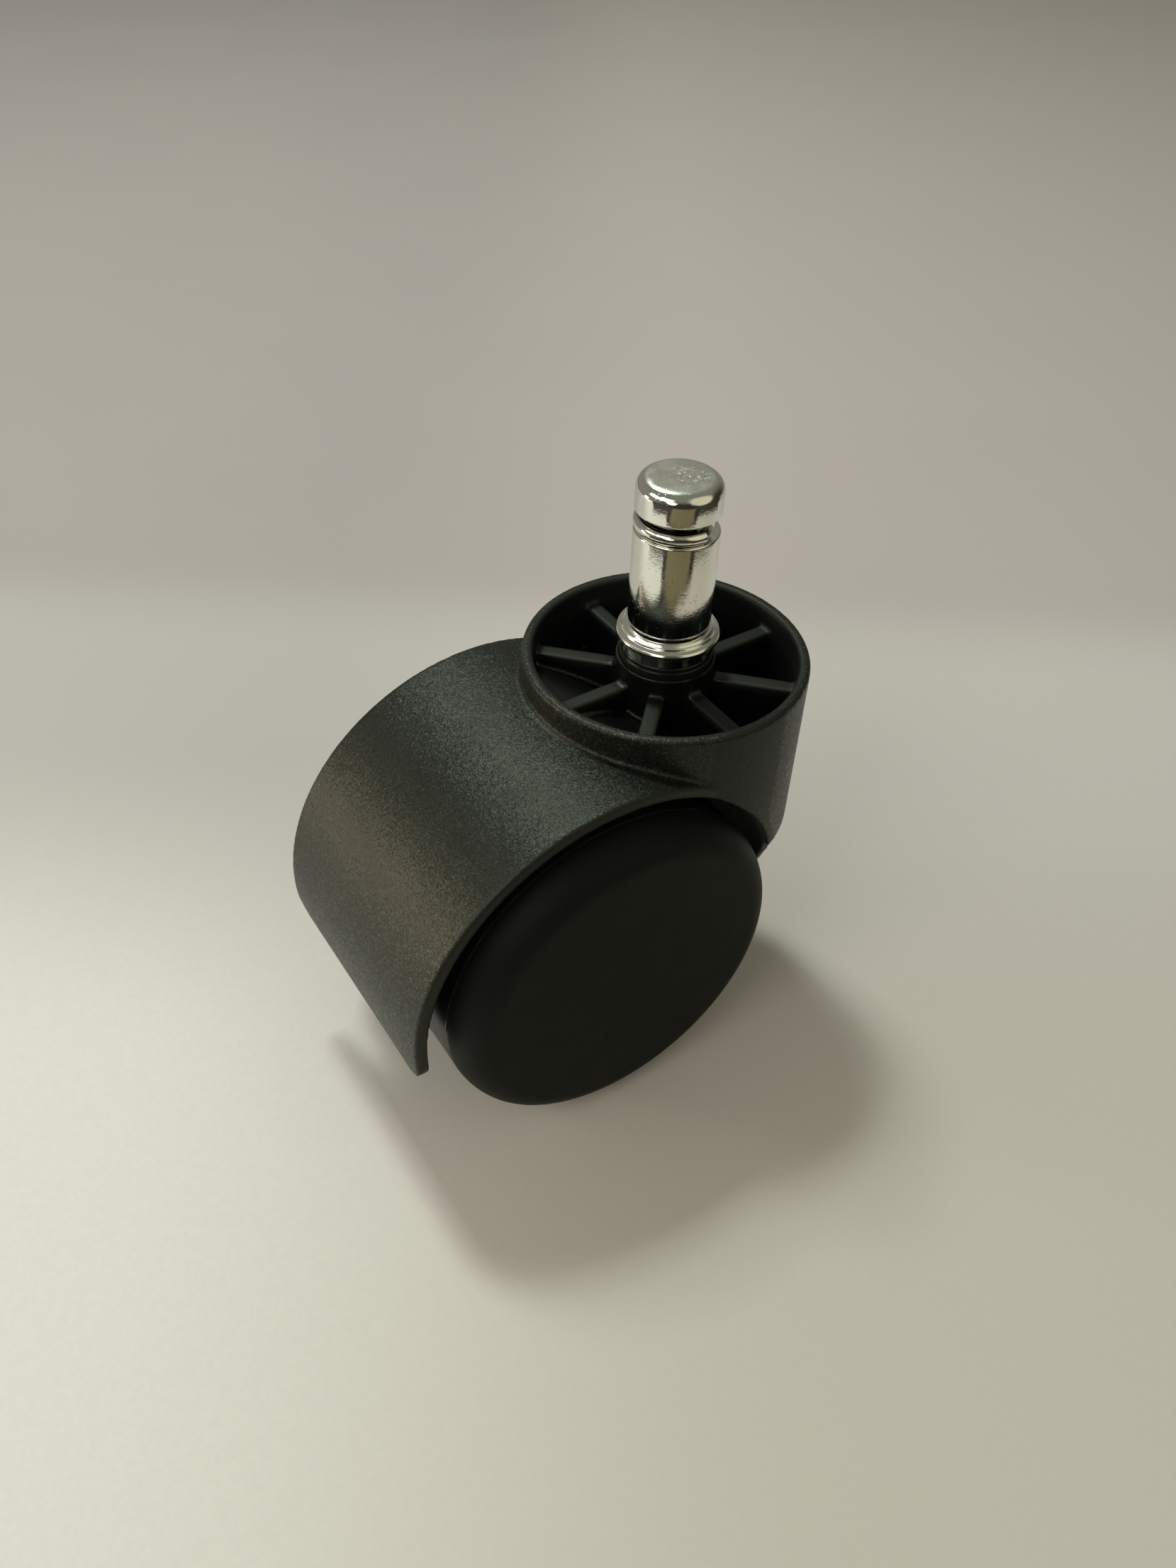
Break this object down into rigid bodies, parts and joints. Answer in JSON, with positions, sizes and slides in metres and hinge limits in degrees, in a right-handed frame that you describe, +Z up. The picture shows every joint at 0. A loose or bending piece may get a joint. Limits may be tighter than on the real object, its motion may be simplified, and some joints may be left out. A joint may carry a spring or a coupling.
{
  "type": "chair caster wheel",
  "caption": "Twin-wheel hooded caster for an office chair, with a ribbed cup round a plated grip-ring stem that swivels.",
  "frame": {"origin": "on the stem's axis at the upper shoulder of its collar, where the chair base rests", "axes": "+Z up the stem, -X the way the hood and wheels trail, Y along the wheels' common axle; left is +Y"},
  "size_m": [0.0687, 0.046, 0.0843],
  "materials": {
    "plated_steel": "bright nickel or zinc plate with fine pits",
    "spring_steel": "plain oiled steel",
    "hood_nylon": "moulded nylon with a coarse spark-eroded grain",
    "wheel_nylon": "moulded nylon, finely textured face and smooth tread",
    "acetal": "smooth black acetal"
  },
  "bodies": {
    "stem_assembly": {"stem": "plated_steel", "grip_ring": "plated_steel", "pintle_ring": "spring_steel"},
    "housing": {"hood": "hood_nylon", "swivel_sleeve": "acetal", "thrust_pad": "spring_steel", "axle": "spring_steel", "axle_ring_left": "spring_steel", "axle_ring_right": "spring_steel"},
    "left_wheel": {"wheel_left": "wheel_nylon"},
    "right_wheel": {"wheel_right": "wheel_nylon"}
  },
  "joints": [
    {"name": "swivel", "type": "hinge", "parent": "stem_assembly", "child": "housing", "pos_m": [0, 0, 0], "axis": [0, 0, 1], "continuous": true},
    {"name": "wheel_left_spin", "type": "hinge", "parent": "housing", "child": "left_wheel", "pos_m": [-0.0193, 0, -0.03835], "axis": [0, 1, 0], "continuous": true},
    {"name": "wheel_right_spin", "type": "hinge", "parent": "housing", "child": "right_wheel", "pos_m": [-0.0193, 0, -0.03835], "axis": [0, 1, 0], "continuous": true}
  ]
}
